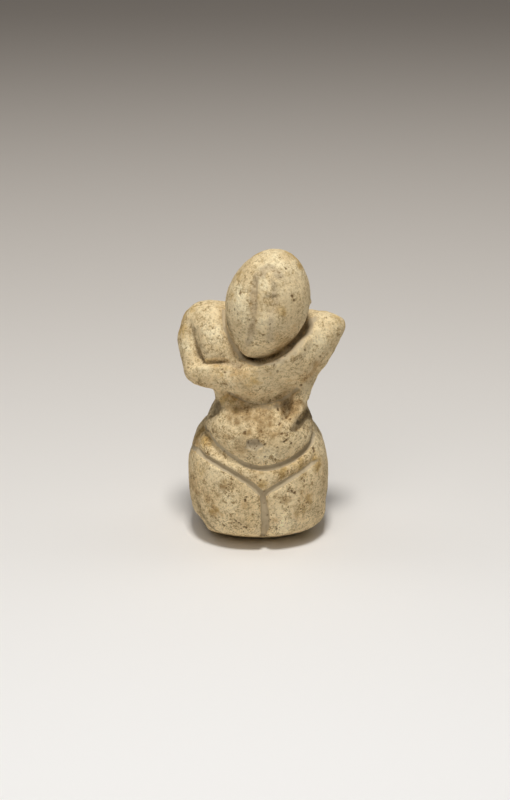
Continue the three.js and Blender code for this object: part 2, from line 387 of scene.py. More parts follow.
def ease(share):
    """Rises smoothly from 0 at 0 to 1 at 1."""
    share = np.clip(share, 0, 1)
    return share * share * (3 - 2 * share)


waver = lumps(1.3 * MM, 1)
fine_waver = lumps(0.6 * MM, 2)
print("waver from", waver.min().round(2), "to", waver.max().round(2))

# %% Distance from a line
def beside(line, margin):
    """The skin's points within margin of a line, how far off each is, and how far along, 0 to 1."""
    low = line.min(0) - margin
    high = line.max(0) + margin
    near = np.flatnonzero(((skin.points > low) & (skin.points < high)).all(1))
    offsets = skin.points[near][:, None] - line[None]
    away = np.sqrt((offsets**2).sum(2))
    closest = away.argmin(1)
    away = away[np.arange(len(near)), closest]
    kept = away < margin
    return near[kept], away[kept], closest[kept] / (len(line) - 1)


trial_line = skin.line(((250, 500), (280, 500)))
print("points within 1 mm of a line across the thighs:", len(beside(trial_line, 1 * MM)[0]))

# %% Brushes that cut and press
def groove(pixels, width, depth, fade=(1.0, 1.0), widths=None, rag=0.18, stain=1.0, floor_share=0.6):
    """Cuts a line with a round tool, its edges ragged by rag, and stains its floor grey by stain.

    Width, depth, widths along the line and the length over which each end fades are in mm.
    """
    line = skin.line(pixels)
    long = np.linalg.norm(np.diff(line, axis=0), axis=1).sum()
    near, away, along = beside(line, width * MM)
    half = np.full(len(near), width * MM / 2)
    if widths:
        half = np.interp(along, np.linspace(0, 1, len(widths)), widths) * MM / 2
    half = half * (1 + rag * waver[near] + rag * 0.6 * fine_waver[near])
    ends = ease(along * long / (fade[0] * MM + 1e-9)) * ease((1 - along) * long / (fade[1] * MM + 1e-9))
    profile = 1 - ease((away / half - floor_share) / (1.12 - floor_share))
    skin.cut[near] = np.maximum(skin.cut[near], profile * ends * depth * MM)
    grey = skin.mask("groove")
    grey[near] = np.maximum(grey[near], (1 - ease((away / half - 0.75) / 0.35)) * ends * stain)
    return long / MM


def press(pixels, width, depth, fade=(2.0, 2.0)):
    """Presses a soft hollow along a line, as a finger does. A depth below 0 raises a ridge."""
    line = skin.line(pixels)
    long = np.linalg.norm(np.diff(line, axis=0), axis=1).sum()
    near, away, along = beside(line, width * MM)
    ends = ease(along * long / (fade[0] * MM)) * ease((1 - along) * long / (fade[1] * MM))
    skin.swell[near] -= (1 - ease(away / (width * MM))) * ends * depth * MM


def push(pixel, radius, depth):
    """Pushes a round place in with a fingertip. A depth below 0 pulls it out."""
    place = np.array(skin.spot(pixel))
    away = np.linalg.norm(skin.points - place, axis=1)
    skin.swell -= (1 - ease(away / (radius * MM))) * depth * MM


print("three brushes that move clay: groove, press, push")

# %% Brushes that paint
def dab(name, pixel, radius, strength=1.0, rag=0.5):
    """Paints a soft, ragged patch on a mask."""
    place = np.array(skin.spot(pixel))
    away = np.linalg.norm(skin.points - place, axis=1) / (radius * MM)
    patch = (1 - ease(away + rag * waver)) * strength
    mask = skin.mask(name)
    mask[:] = np.maximum(mask, patch)


def streak(name, pixels, width, strength=1.0, rag=0.5):
    """Paints a soft, ragged band along a line on a mask."""
    line = skin.line(pixels)
    near, away, along = beside(line, width * MM * 1.3)
    band = (1 - ease(away / (width * MM) + rag * waver[near])) * strength
    mask = skin.mask(name)
    mask[near] = np.maximum(mask[near], band)


print("two brushes that paint a mask: dab, streak")

# %% [markdown]
# ## Forms first
#
# A modeller sets the large forms before any line. The solid has them within a pixel or two of the
# photograph. These strokes sharpen what the solid leaves soft: the pointed right shoulder, the arms
# that stand out from the chest and the slots at the flanks. Each fingertip has a pixel of the
# photograph, a radius and a depth in mm, and a depth below 0 pulls the clay out.

# %% Shoulders, head and arms
FINGERTIPS = {
    "right shoulder, top": ((311, 311), 2.2, -0.45),
    "right shoulder, slope": ((331, 312.5), 2.8, 0.5),
    "right shoulder, point": ((343, 322), 2.4, -0.45),
    "right arm, upper": ((335, 349), 3.5, -0.4),
    "right arm, lower": ((327, 362), 4.5, -0.7),
    "right flank": ((312, 398), 2.5, -0.4),
    "right of the jaw": ((300, 331), 4.0, 0.6),
    "right of the chin": ((288, 350), 3.2, 0.35),
    "left of the chin": ((248, 354), 3.0, -0.4),
    "bump on the right cheek": ((310, 301.5), 0.9, -0.35),
    "left upper arm": ((181, 348), 4.0, -0.25),
    "left hip": ((191, 440), 4.0, 0.65),
    "left thigh": ((195, 510), 4.0, -0.6),
    "right thigh": ((322, 515), 4.5, -0.75),
}
LEFT_UPPER_ARM = ((185, 322), (183.5, 335), (185.5, 350), (190, 362))
LEFT_FOREARM = ((191, 371), (205, 368), (222, 367), (238, 369))
RIGHT_ARM_RIM = ((310, 335), (303.5, 347), (297, 354), (290, 359.5), (283, 364), (274, 367), (262, 368.5),
                 (248, 370))
BELOW_BREAST = ((205, 360.5), (218, 359.5), (232, 361))

for pixel, radius, depth in FINGERTIPS.values():
    push(pixel, radius, depth)
press(LEFT_UPPER_ARM, 1.5, -0.3)
press(LEFT_FOREARM, 1.3, -0.45)
press(RIGHT_ARM_RIM, 1.6, -0.4)
press(BELOW_BREAST, 1.5, 0.3, fade=(0.5, 2.5))
print("forms moved by", round(abs(skin.swell).max() / MM, 2), "mm at most")

# %% Places seen from the front
OFF_THE_SKIN = 0.05 * MM
PIXELS_PER_MM = 4.24


def seen_pixels():
    """Where each point of the skin shows in the photograph, and whether the camera sees it."""
    offsets = (skin.points - np.array(eye)) @ np.array(camera_turn)
    reach = LENS / SENSOR * PHOTO_HIGH
    across = PHOTO_WIDE / 2 - offsets[:, 0] / offsets[:, 2] * reach
    down = PHOTO_HIGH / 2 + offsets[:, 1] / offsets[:, 2] * reach
    open_to_eye = np.ones(len(skin.points), bool)
    for number, (point, outward) in enumerate(zip(skin.points, skin.outward)):
        start = Vector(point) + Vector(outward) * OFF_THE_SKIN
        open_to_eye[number] = skin.surface.ray_cast(start, eye - start)[0] is None
    return np.stack([across, down], 1), open_to_eye


pixel_of, seen = seen_pixels()
print("points that the camera sees:", int(seen.sum()))


# %% Outlines drawn on the photograph
def inside(outline, shown=seen):
    """How far inside an outline, drawn in pixels, each shown point lies, in mm. Outside is below 0."""
    corners = np.array(outline, float)
    nearest = np.full(len(pixel_of), np.inf)
    crossings = np.zeros(len(pixel_of), bool)
    for start, end in zip(corners, np.roll(corners, -1, 0)):
        side = end - start
        share = np.clip(((pixel_of - start) @ side) / (side @ side), 0, 1)
        nearest = np.minimum(nearest, np.linalg.norm(pixel_of - start - share[:, None] * side, axis=1))
        spans = (pixel_of[:, 1] < start[1]) != (pixel_of[:, 1] < end[1])
        reach = start[0] + (pixel_of[:, 1] - start[1]) * side[0] / (side[1] or 1e-9)
        crossings ^= spans & (pixel_of[:, 0] < reach)
    return np.where(crossings & shown, nearest, -nearest) / PIXELS_PER_MM


def sink(outline, depth, edge, rag=0.3, stain=None, amount=1.0):
    """Sinks the clay inside an outline, with a slope edge mm wide. A depth below 0 raises it."""
    share = ease((inside(outline) + rag * waver) / edge) * seen
    skin.swell -= share * depth * MM
    if stain:
        mask = skin.mask(stain)
        mask[:] = np.maximum(mask, share * amount)


HEAD_BOX = ((225, 248), (310, 248), (310, 360), (225, 360))
print("points that the head's box holds:", int((inside(HEAD_BOX) > 0).sum()))

# %% Slots at the flanks
RIGHT_STRAND = ((298, 390), (306, 404), (306, 409), (299, 418), (292, 428), (288, 427), (290, 418),
                (292, 408), (291, 396))
RIGHT_SLOT = ((307.5, 409), (300, 418), (294, 427), (290, 429), (290.5, 433), (298, 433.5), (304, 431),
              (309, 431.5), (314, 435), (317, 431), (314, 419))
BESIDE_STRAND = ((283, 401), (291, 396), (293, 404), (290.5, 414), (287, 421), (280, 426), (278, 421),
                 (281, 413))
LEFT_SLOT = ((217, 397), (210, 409), (206, 419), (212, 420), (219, 416), (224, 408), (221, 400))
NOTCH_SHADE = ((306.5, 407), (302, 415), (293, 424), (288, 429), (290, 433), (299, 433.5), (303, 427),
               (309, 421), (317, 419), (317, 412))
LEFT_HIP_SLOT = ((203, 421), (206, 430), (212, 440), (207, 440), (201, 432))
SHADED_SLOTS = (
    (RIGHT_SLOT, 0.4),
    (NOTCH_SHADE, 0.85),
    (BESIDE_STRAND, 0.5),
    (LEFT_SLOT, 0.75),
    (LEFT_HIP_SLOT, 0.6),
)
SHADE_EDGE = 1.3

sink(RIGHT_STRAND, -0.35, 0.7)
sink(RIGHT_SLOT, 0.75, 1.3, rag=0.1)
sink(BESIDE_STRAND, 0.3, 1.0, rag=0.6)
sink(LEFT_SLOT, 0.7, 1.2)
sink(LEFT_HIP_SLOT, 0.4, 0.8)
# Painted shade: the slots' hollows are darkened in colour with soil, where the body above them blocks the
# light.
soil_and_shade = skin.mask("soil_and_shade")
for outline, amount in SHADED_SLOTS:
    soil_and_shade[:] = np.maximum(soil_and_shade, ease((inside(outline) + 0.4 + 0.5 * waver) / SHADE_EDGE) * seen * amount)
print("forms moved by", round(abs(skin.swell).max() / MM, 2), "mm at most")

# %% [markdown]
# ## The chin close to the chest
#
# On the real figure the head leans forward, and its chin nearly touches the arms, with a narrow crease
# between, whose dark bands along the jaw are painted shade. The solid has a wider hollow there, which a
# round tool could have pressed. The chin could be pulled back by hand with a grab brush. Here each point
# near it slides along its own line of sight, the chin away from the camera and the chest towards it, so
# that the outlines which the photograph shows stay where they are.

# %% Crease round the chin
CHIN_CREASE = ((225, 306), (227, 320), (231.5, 333.5), (238, 346.5), (245.5, 356), (255, 361), (266, 362),
               (275, 360), (283, 355), (290.5, 348), (297.5, 340), (303, 331), (307.5, 320))
CREASE_WIDTHS = (0.9, 0.9, 0.9, 1.0, 1.2, 1.3, 1.2)
CREASE_BAND = ((224, 312), (229, 333), (236, 348), (245, 359), (256, 364), (268, 365), (279, 361),
               (290, 353), (300, 343), (307, 331))
RIGHT_VALLEY = ((283, 359), (292, 352), (301, 342), (308, 330), (312, 320))
CHIN_FILL = ((258, 366), (270, 366), (282, 361), (293, 352), (301, 342), (308, 330))
BELOW_RIGHT_JAW = ((274, 361), (284, 355), (293, 346), (301, 336), (306, 326))
BESIDE_LEFT_JAW = ((227, 318), (230, 330), (234.5, 342), (241, 351), (250, 357), (260, 359.5))
CREASE_END = ((300, 335), (305, 325), (309, 314))

groove(CHIN_CREASE, 1.1, 0.12, fade=(3.0, 3.0), widths=CREASE_WIDTHS, rag=0.08, stain=0.0, floor_share=0.1)
press(CHIN_FILL, 2.6, -0.5, fade=(3.0, 3.0))
streak("groove", CREASE_BAND, 1.5, 1.0, rag=0.25)
streak("groove", RIGHT_VALLEY, 2.4, 0.8, rag=0.25)
# Painted shade: these soil streaks darken the crease on both sides of the jaw and its end at the shoulder.
streak("soil_and_shade", BELOW_RIGHT_JAW, 1.4, 0.2, rag=0.5)
streak("soil_and_shade", BESIDE_LEFT_JAW, 1.9, 0.62, rag=0.3)
streak("soil_and_shade", CREASE_END, 1.3, 0.4, rag=0.3)
print("crease cut")

# %% Chin sunk into the chest
FACE = (*CHIN_CREASE, (304, 300), (290, 288), (240, 288))
CHIN_MIDDLE = (278, 350)
CHIN_REACH = 58
CHIN_BACK = 1.3
CHEST_FORWARD = 0.7
LIP_FORWARD = 1.6
LIP_WIDE = 1.7
FADED = 7
FADING = 5

over_jaw = inside(FACE, skin.points[:, 1] < 0)
back = CHIN_BACK * ease(over_jaw / 2) * ease((FADED - over_jaw) / FADING)
forward = CHEST_FORWARD * ease(-over_jaw) * ease((FADED + over_jaw) / FADING)
lip_below = 0.4 + 1.4 * ease((pixel_of[:, 0] - CHIN_MIDDLE[0]) / 20)
lip = np.exp(-(((over_jaw + lip_below) / LIP_WIDE) ** 2))
forward += LIP_FORWARD * lip * ease((0.1 - over_jaw) / 0.5)
near_chin = ease(1.4 * (1 - np.linalg.norm(pixel_of - CHIN_MIDDLE, axis=1) / CHIN_REACH))
near_chin *= ease((-skin.points[:, 1] / MM - 2) / 4)
sight_lines = skin.points - np.array(eye)
sight_lines /= np.linalg.norm(sight_lines, axis=1)[:, None]
drift = sight_lines * ((back - forward) * near_chin * MM)[:, None]
print("chin and chest moved by up to", round(np.linalg.norm(drift, axis=1).max() / MM, 2), "mm")

# %% [markdown]
# ## The lines cut with a tool
#
# On the real figure one round tool drew the belly's lower edge, the two lines of the groin and the
# cleft between the thighs. Each line is wide for its depth, with a flat floor that holds grey dirt.
# The solid has these lines already, softened here by the remeshing, so each is cut again, crisply.

# %% Lines of the belly and thighs
BELLY_LINE = ((205, 424), (209, 434), (216, 443.5), (229, 454.5), (246, 464.5), (264, 468), (283, 464.5),
              (300, 453.5), (309, 446), (313.5, 438), (315, 429))
BELLY_WIDTHS = (1.4, 1.5, 1.4, 1.4, 1.5, 1.5, 1.4, 1.2, 1.1)
LEFT_GROIN = ((190, 444), (198, 451), (207, 458), (221, 466), (236, 474.5), (250, 484), (262, 494))
RIGHT_GROIN = ((322, 457), (311.5, 464), (300, 473), (285, 482), (273, 488.5), (263, 495))
CLEFT = ((262.5, 493), (263.5, 503), (265, 515), (265.5, 525), (263.5, 533), (263.5, 541))

lengths = [
    groove(BELLY_LINE, 2.0, 0.34, fade=(1.0, 2.5), widths=BELLY_WIDTHS, rag=0.26),
    groove(LEFT_GROIN, 2.0, 0.32, fade=(2.5, 0.1), widths=(1.0, 1.2, 1.4, 1.6, 1.6), rag=0.3),
    groove(RIGHT_GROIN, 1.9, 0.32, fade=(4.0, 0.1), widths=(0.8, 1.0, 1.2, 1.5, 1.5), rag=0.3),
    groove(CLEFT, 2.6, 0.4, fade=(0.1, 0.1), widths=(1.2, 1.5, 2.1, 2.2, 1.6, 1.4), rag=0.26),
]
print("tool lines, mm long:", [round(length, 1) for length in lengths])

# %% [markdown]
# ## Navel, waist and arms
#
# The navel is a flat, round pressing filled with grey. The arms were rolled, laid over the chest and
# drawn out of it with the tool: a line below them, a line above the left forearm, a deep slot beside
# the left upper arm. The line above the forearm, the slot and the valley beside the upper arm carry
# painted shade, and so does the grey on the forearm's top.

# %% Navel
NAVEL = (253.5, 444.5)


def basin(pixel, across, down, depth, stain=1.0):
    """Presses an oval, flat-bottomed basin, across and down being its half widths on the skin in mm."""
    place = np.array(skin.spot(pixel))
    offsets = (skin.points - place) / MM / np.array((across, across, down))
    away = np.linalg.norm(offsets, axis=1) * (1 + 0.45 * waver + 0.3 * fine_waver)
    skin.cut[:] = np.maximum(skin.cut, (1 - ease((away - 0.45) / 0.7)) * depth * MM)
    grey = skin.mask("groove")
    grey[:] = np.maximum(grey, (1 - ease((away - 0.65) / 0.45)) * stain)


basin(NAVEL, 2.2, 1.9, 0.45)
dab("soil_and_shade", NAVEL, 4.2, 0.32, rag=0.4)
print("navel at", [round(value / MM, 1) for value in skin.spot(NAVEL)], "mm")

# %% Arm lines
UNDER_ARMS = ((222, 388), (230, 393.5), (240, 399), (250, 402.5), (262, 404), (273, 403), (284, 398.5),
              (295, 391), (301, 386))
UNDER_ARMS_WIDTHS = (0.9, 0.9, 0.6, 0.6, 0.7, 0.9, 1.0)
GREY_UNDER_ARMS = ((262, 407.5), (272, 408), (283, 405), (293, 397))
ABOVE_FOREARM = ((204, 363), (212, 362.5), (221, 362.5), (230, 364))
BESIDE_UPPER_ARM = ((192, 320), (193.5, 330), (196, 341), (199.5, 352), (203.5, 362))
ARM_VALLEY = ((195, 326), (198, 342), (202, 360))
ARM_VALLEY_SHADE = ((195, 332), (198, 344), (201, 357))
FOREARM_SLIT = ((228.5, 367.3), (233, 368), (238, 369.3))
GREY_ON_FOREARM = ((225, 364), (232, 364.5), (239, 366))
BREAST_SCRATCH = ((203.5, 333), (208, 341), (212, 347), (215, 354))

groove(UNDER_ARMS, 1.0, 0.16, fade=(2.0, 1.5), widths=UNDER_ARMS_WIDTHS, stain=0.6)
streak("groove", GREY_UNDER_ARMS, 1.3, 0.5)
press(UNDER_ARMS[2:7], 1.3, -0.6)
groove(ABOVE_FOREARM, 0.6, 0.35, fade=(0.3, 2.0), stain=0.3)
# Painted shade: soil streaks above the forearm, in the slot and on the valley's slope, and grey on the
# forearm.
streak("soil_and_shade", ABOVE_FOREARM[:3], 0.6, 0.4, rag=0.4)
groove(BESIDE_UPPER_ARM, 0.8, 0.25, fade=(3.0, 0.2), stain=0.4)
streak("soil_and_shade", BESIDE_UPPER_ARM[1:], 1.1, 0.45, rag=0.3)
press(ARM_VALLEY, 2.2, 0.3, fade=(2.0, 0.5))
streak("soil_and_shade", ARM_VALLEY_SHADE, 2.8, 0.34, rag=0.4)
groove(FOREARM_SLIT, 0.5, 0.35, fade=(0.5, 0.5), stain=0.2)
streak("grey", GREY_ON_FOREARM, 1.6, 0.9)
groove(BREAST_SCRATCH, 0.35, 0.12, fade=(1, 1), stain=0.0)
print("deepest cut so far", round(skin.cut.max() / MM, 2), "mm")

# %% [markdown]
# ## A worn face
#
# The face is a schematic one, worn nearly flat. Two shallow lines stand beside a long nose whose end
# is broken away, a hollow marks the brow, and a few scratches cross the jaw.

# %% Nose and brow
LEFT_OF_NOSE = ((256, 276), (254.5, 288), (253.5, 300), (253.5, 314), (252, 328), (248, 344))
RIGHT_OF_NOSE = ((274, 283), (275.5, 294), (274.5, 306), (270, 318))
GREY_RIGHT_OF_NOSE = ((275, 300), (275, 308), (271, 318), (270, 330), (270.5, 340))
GREY_ON_NOSE = ((272, 280), (274, 288), (274, 296))
BROW = ((262, 271), (269, 267.5), (277, 271))
GREY_BROW = ((262, 275), (264, 270), (270, 268), (276, 271), (279, 276))
NOSE_RIDGE = ((262, 274), (262, 284), (263, 291))
NOSE_BREAK = ((264, 293), (281, 293.5), (282, 299), (275, 304), (265, 302))
NOSE_BREAK_SHADE = ((266, 297), (270, 298), (276, 297))

# Painted shade: the grey streaks over the brow and beside and on the nose, and the soil beside the nose
# and in its break.
groove(LEFT_OF_NOSE, 1.7, 0.3, fade=(1.5, 4.0), widths=(1.0, 1.5, 1.7, 1.4, 1.1), rag=0.35, stain=0.0,
       floor_share=0.1)
press(LEFT_OF_NOSE[:4], 1.6, 0.2, fade=(1.5, 2.0))
streak("grey", LEFT_OF_NOSE[:4], 1.7, 1.0, rag=0.3)
streak("grey", LEFT_OF_NOSE[2:], 1.5, 0.9, rag=0.3)
streak("soil_and_shade", LEFT_OF_NOSE[2:4], 1.3, 0.3, rag=0.5)
press(RIGHT_OF_NOSE, 1.5, 0.4)
streak("grey", GREY_RIGHT_OF_NOSE, 1.8, 0.7, rag=0.3)
streak("grey", GREY_ON_NOSE, 1.3, 0.8, rag=0.3)
press(BROW, 1.2, 0.28, fade=(1.0, 1.0))
streak("grey", GREY_BROW, 1.6, 1.0, rag=0.3)
press(NOSE_RIDGE, 1.2, -0.15, fade=(1.0, 1.0))
sink(NOSE_BREAK, 0.45, 1.3, rag=0.5, stain="soil_and_shade", amount=0.2)
streak("soil_and_shade", NOSE_BREAK_SHADE, 1.3, 0.32, rag=0.4)
print("points of the nose's break:", int((inside(NOSE_BREAK) > 0).sum()))

# %% Mouth and jaw
MOUTH_RIDGE = ((255, 322), (263, 320), (268, 323))
JAW_SCRATCH = ((239.5, 332), (244, 338), (249, 344), (256, 348.5), (262, 349))
SHORT_SCRATCH = ((238.5, 336), (243, 342), (248, 347.5))

press(MOUTH_RIDGE, 1.3, -0.15, fade=(1.0, 1.0))
groove(JAW_SCRATCH, 0.4, 0.14, fade=(1, 1), stain=0.3)
groove(SHORT_SCRATCH, 0.4, 0.12, fade=(0.8, 0.8), stain=0.2)
print("masks so far:", sorted(skin.masks))

# %% [markdown]
# ## Pits, grit and wear
#
# Grit and bits of chaff fell out of the surface and left pits of a few tenths of a millimetre. The
# larger ones are set where the photograph shows them, listed by their radius in mm. The rest
# are scattered by seeded chance, more of them on the belly and thighs, all round the figure, so that
# the back is as worn as the front. Fine strokes of a wiping hand and a faint unevenness follow.

# %% Pits
PITS = {
    0.50: (
        (292.5, 296.5), (203.5, 362), (314.5, 451), (245, 500.5), (295, 493), (285, 441.5),
    ),
    0.42: (
        (294, 300), (264.5, 253), (296, 384), (301, 385), (278.5, 409), (286.5, 417), (280.5, 423),
        (282, 433.5), (291.5, 443.5), (264.5, 445), (244.5, 433), (260.5, 480.5), (292, 491.5),
        (224, 526), (201.5, 435), (314, 448),
    ),
    0.34: (
        (234.5, 309.5), (237.5, 313.5), (304.5, 350.5), (225, 372.5), (293, 402.5), (282.5, 414),
        (290, 418.5), (279, 424.5), (287.5, 435), (265, 457), (223.5, 472.5), (304.5, 480.5),
        (289, 489.5), (236, 521.5), (234, 523), (238.5, 523), (241, 525), (244.5, 527), (241, 528.5),
        (246.5, 527.5), (262.5, 335),
    ),
    0.30: (
        (285, 405), (288, 409), (284, 411), (289, 413), (286.5, 416), (290.5, 407), (283, 418),
        (252, 441), (256, 446), (250, 447), (258, 442), (254.5, 449), (249, 443.5), (228, 496.5),
        (224, 482), (226, 488), (199, 423.5),
    ),
    0.27: (
        (290.5, 282.5), (286, 268.5), (260.5, 276), (251, 272.5), (240.5, 330), (270, 324.5),
        (280, 257), (269, 343), (213.5, 334), (212.5, 328), (187.5, 323.5), (187, 348), (245, 363),
        (222, 369.5), (268, 388.5), (275, 365.5), (221.5, 354), (247.5, 458.5), (261, 430),
        (277.5, 447.5), (301.5, 438.5), (303, 433), (258.5, 463), (275, 459.5), (258, 483.5),
        (214.5, 485), (228.5, 484), (209.5, 469), (207.5, 463.5), (246.5, 497), (324, 470.5),
        (270, 520), (276.5, 528.5), (193.5, 478.5), (288.5, 507),
    ),
}
SCATTERED = 900
pit_tree = KDTree(len(skin.points))
for number, point in enumerate(skin.points):
    pit_tree.insert(point, number)
pit_tree.balance()


def pit(place, radius, depth, dark):
    """Knocks one grain out of the skin, with a ragged edge. Radius and depth are in mm."""
    pits = skin.mask("pits")
    for _, number, away in pit_tree.find_range(place, 1.5 * radius * MM):
        shape = 1 - ease(away / (radius * MM) * (1 + 0.8 * fine_waver[number]))
        skin.cut[number] += shape * depth * MM
        pits[number] = max(pits[number], min(1.0, shape * 1.4) * dark)


for radius, places in PITS.items():
    for pixel in places:
        pit(skin.spot(pixel), radius * 1.2, radius * 0.8, 1.0)

chance = random.Random(41)
gritty = lumps(6 * MM, 5) * 0.5 + 0.5
height = skin.points[:, 2] / skin.points[:, 2].max()
made = 0
while made < SCATTERED:
    number = chance.randrange(len(skin.points))
    wanted = gritty[number] ** 1.5 * (1.3 - 1.0 * height[number])
    radius = 0.3 + 0.3 * chance.random() ** 4
    depth = radius * (0.25 + 0.4 * chance.random())
    dark = 0.8 * chance.random() ** 1.5
    if chance.random() < wanted:
        pit(skin.points[number], radius * 1.2, depth, dark)
        made += 1
print("pits:", sum(len(places) for places in PITS.values()), "placed and", made, "scattered")

# %% Strokes of the wiping hand
WIPED = (
    ((226, 421), (232, 413), (243, 408), (255, 407.5), (264, 410)),
    ((224, 428), (229, 419), (239, 413), (251, 412), (262, 415), (269, 421)),
    ((229, 431), (234, 423), (243, 418), (254, 418), (263, 422)),
    ((236, 430), (242, 424.5), (251, 424), (258, 427)),
    ((284, 398), (290, 392), (297, 384), (303, 375)),
    ((281, 393), (288, 388), (294, 380), (299, 371)),
    ((276, 391), (284, 385), (290, 378), (295, 370)),
    ((233, 389), (240, 393), (249, 396), (258, 397)),
    ((237, 382), (243, 387), (251, 390), (260, 391)),
    ((240, 376), (246, 381), (254, 384), (263, 385)),
    ((226, 383), (233, 387), (240, 391)),
)
for stroke in WIPED:
    groove(stroke, 0.5, 0.09, fade=(1.5, 1.5), rag=0.5, stain=0.0, floor_share=0.1)
print(len(WIPED), "strokes")

# %% Uneven surface
# The floor of a tool line is smoother than the clay beside it, and the seat under the figure stays flat.
UNEVEN = ((4.5, 7, 0.12), (1.7, 8, 0.07), (0.8, 9, 0.05))

calm = 1 - 0.6 * skin.mask("groove")
skin.swell += sum(lumps(size * MM, seed) * high for size, seed, high in UNEVEN) * calm * MM
under = ease((0.35 * MM - skin.points[:, 2]) / (0.3 * MM))
skin.swell *= 1 - under
skin.cut *= 1 - 0.7 * under
print("points that the seat keeps flat:", int((under > 0.5).sum()))

# %% [markdown]
# ## Stains and painted shade
#
# The ground stained the figure unevenly: tan and ochre clouds on the belly and hips, soil in places,
# paler clay where hands rubbed it. The darker soil in the hollows and the tan on the belly under the arms
# and on the right of the jaw are painted shade. Texture paint would put this into an image. Here each
# stain is a soft dab on one of the masks, at a pixel of the photograph, with its radius in mm and its
# strength, so the material can mix each colour in. The sides that the photograph doesn't show are
# stained in the same way, by seeded noise.

# %% Stains and painted shade
# Besides real stains, the soil and tan dabs on the belly under the arms, in the right notch and on the
# jaw's right are painted shade.
PATCHES = {
    "soil_and_shade": (
        ((240, 418), 6, 0.4), ((262, 420), 7, 0.38), ((282, 424), 5, 0.25), ((238, 438), 4, 0.34),
        ((196, 490), 4, 0.35), ((226, 486), 2.6, 0.5), ((212, 512), 3, 0.25), ((240, 526), 2.4, 0.15),
        ((306, 505), 4, 0.3), ((285, 500), 2.4, 0.3), ((200, 432), 3, 0.4), ((280, 476), 2.4, 0.5),
        ((262, 484), 2.4, 0.3), ((318, 462), 3, 0.3), ((302, 466), 2.8, 0.35), ((238, 275), 3, 0.2),
        ((298, 262), 2.6, 0.15), ((292, 340), 3, 0.15), ((300, 400), 3, 0.3), ((232, 402), 2.4, 0.12),
        ((311, 417), 1.8, 0.9),
    ),
    "tan_and_shade": (
        ((262, 385), 7, 0.3), ((262, 420), 8, 0.8), ((240, 374), 5, 0.7), ((222, 378), 4, 0.4),
        ((240, 412), 6, 0.8), ((262, 425), 6, 0.8), ((285, 385), 6, 0.4), ((312, 372), 6, 0.8),
        ((294, 318), 6, 0.25), ((282, 345), 5, 0.6), ((206, 384), 5, 0.4), ((292, 408), 6, 0.8),
        ((196, 440), 6, 0.8), ((262, 483), 5, 0.3), ((322, 470), 5, 0.5), ((192, 480), 5, 0.7),
        ((225, 438), 4, 0.5), ((250, 440), 4, 0.5), ((226, 484), 2, 0.5), ((256, 478), 3, 0.5),
        ((300, 512), 4, 0.6), ((214, 512), 3, 0.8), ((240, 525), 3.0, 0.2), ((215, 378), 4, 0.5),
        ((242, 450), 4, 0.6), ((196, 490), 4, 0.8), ((306, 500), 4, 0.7), ((294, 330), 4, 0.5),
        ((285, 345), 3, 0.3), ((286, 257), 3, 0.5), ((208, 500), 2.6, 0.7), ((226, 486), 2.2, 1.0),
        ((285, 500), 2.4, 0.6), ((298, 401), 2.6, 0.9), ((299, 412), 2.0, 0.6), ((274, 520), 2.4, 0.5),
        ((245, 505), 2.0, 0.6), ((218, 370), 4, 0.4), ((252, 395), 4, 0.4), ((280, 336), 3, 0.5),
        ((243, 350), 3, 0.4),
    ),
    "ochre": (
        ((206, 440), 3.2, 1.0), ((200, 432), 3.0, 1.0), ((282, 474), 2.2, 0.9), ((281, 477), 1.2, 1.0),
        ((232, 403), 2.6, 0.5), ((225, 400), 2.2, 0.6), ((300, 466), 3.6, 0.7), ((318, 462), 3.2, 0.7),
        ((262, 483), 2.4, 0.6), ((226, 484), 1.8, 0.6), ((181, 330), 3.4, 0.9), ((184, 316), 3.2, 0.9),
        ((195, 307), 3.0, 0.7), ((344, 326), 2.8, 0.7), ((338, 318), 2.6, 0.6), ((299, 262), 3.4, 0.9),
        ((293, 256), 2.8, 0.8), ((238, 275), 3.0, 0.7), ((232, 296), 2.6, 0.6), ((256, 254), 2.6, 0.6),
        ((281, 310), 2.4, 0.6), ((258, 297), 2.0, 0.5), ((222, 372), 2.6, 0.4), ((252, 380), 3.2, 0.6),
        ((216, 350), 3.0, 0.3), ((305, 505), 3.8, 0.5), ((212, 510), 3.8, 0.4), ((200, 470), 3.0, 0.4),
        ((250, 520), 2.4, 0.3),
    ),
    "pale": (
        ((274, 260), 5.5, 0.7), ((262, 262), 4.0, 0.5), ((325, 320), 5.0, 0.3), ((262, 283), 2.4, 0.8),
        ((238, 296), 4.0, 1.0), ((245, 318), 4.0, 0.8), ((252, 338), 2.6, 0.6), ((322, 322), 5.0, 0.4),
        ((318, 340), 4.4, 0.6), ((212, 310), 4.4, 0.2), ((214, 332), 4.6, 0.8), ((240, 305), 4.5, 0.9),
        ((188, 345), 2.8, 0.8), ((205, 369), 3.0, 0.6), ((235, 508), 5.0, 0.3), ((286, 525), 5.0, 0.9),
        ((262, 388), 3.4, 0.5), ((228, 496), 3.0, 0.5), ((270, 455), 4.0, 0.8), ((262, 322), 3.4, 0.6),
        ((255, 345), 2.4, 0.5), ((262, 478), 3.0, 0.4),
    ),
}
BROKEN_CORNER = ((198, 503), (202, 513), (208, 523), (215, 532), (226, 538))

for name, patches in PATCHES.items():
    for pixel, radius, strength in patches:
        dab(name, pixel, radius, strength)
# Painted shade: a dark soil band along the broken lower-left corner, whose underside falls in shadow.
streak("soil_and_shade", BROKEN_CORNER, 1.5, 0.6, rag=0.4)
print("stains:", {name: len(patches) for name, patches in PATCHES.items()})

# %% Stains on the hidden sides
HIDDEN_STAINS = {"tan_and_shade": (6, 21, 0.75), "ochre": (3.5, 22, 0.6), "soil_and_shade": (4, 23, 0.3), "pale": (7, 24, 0.6)}

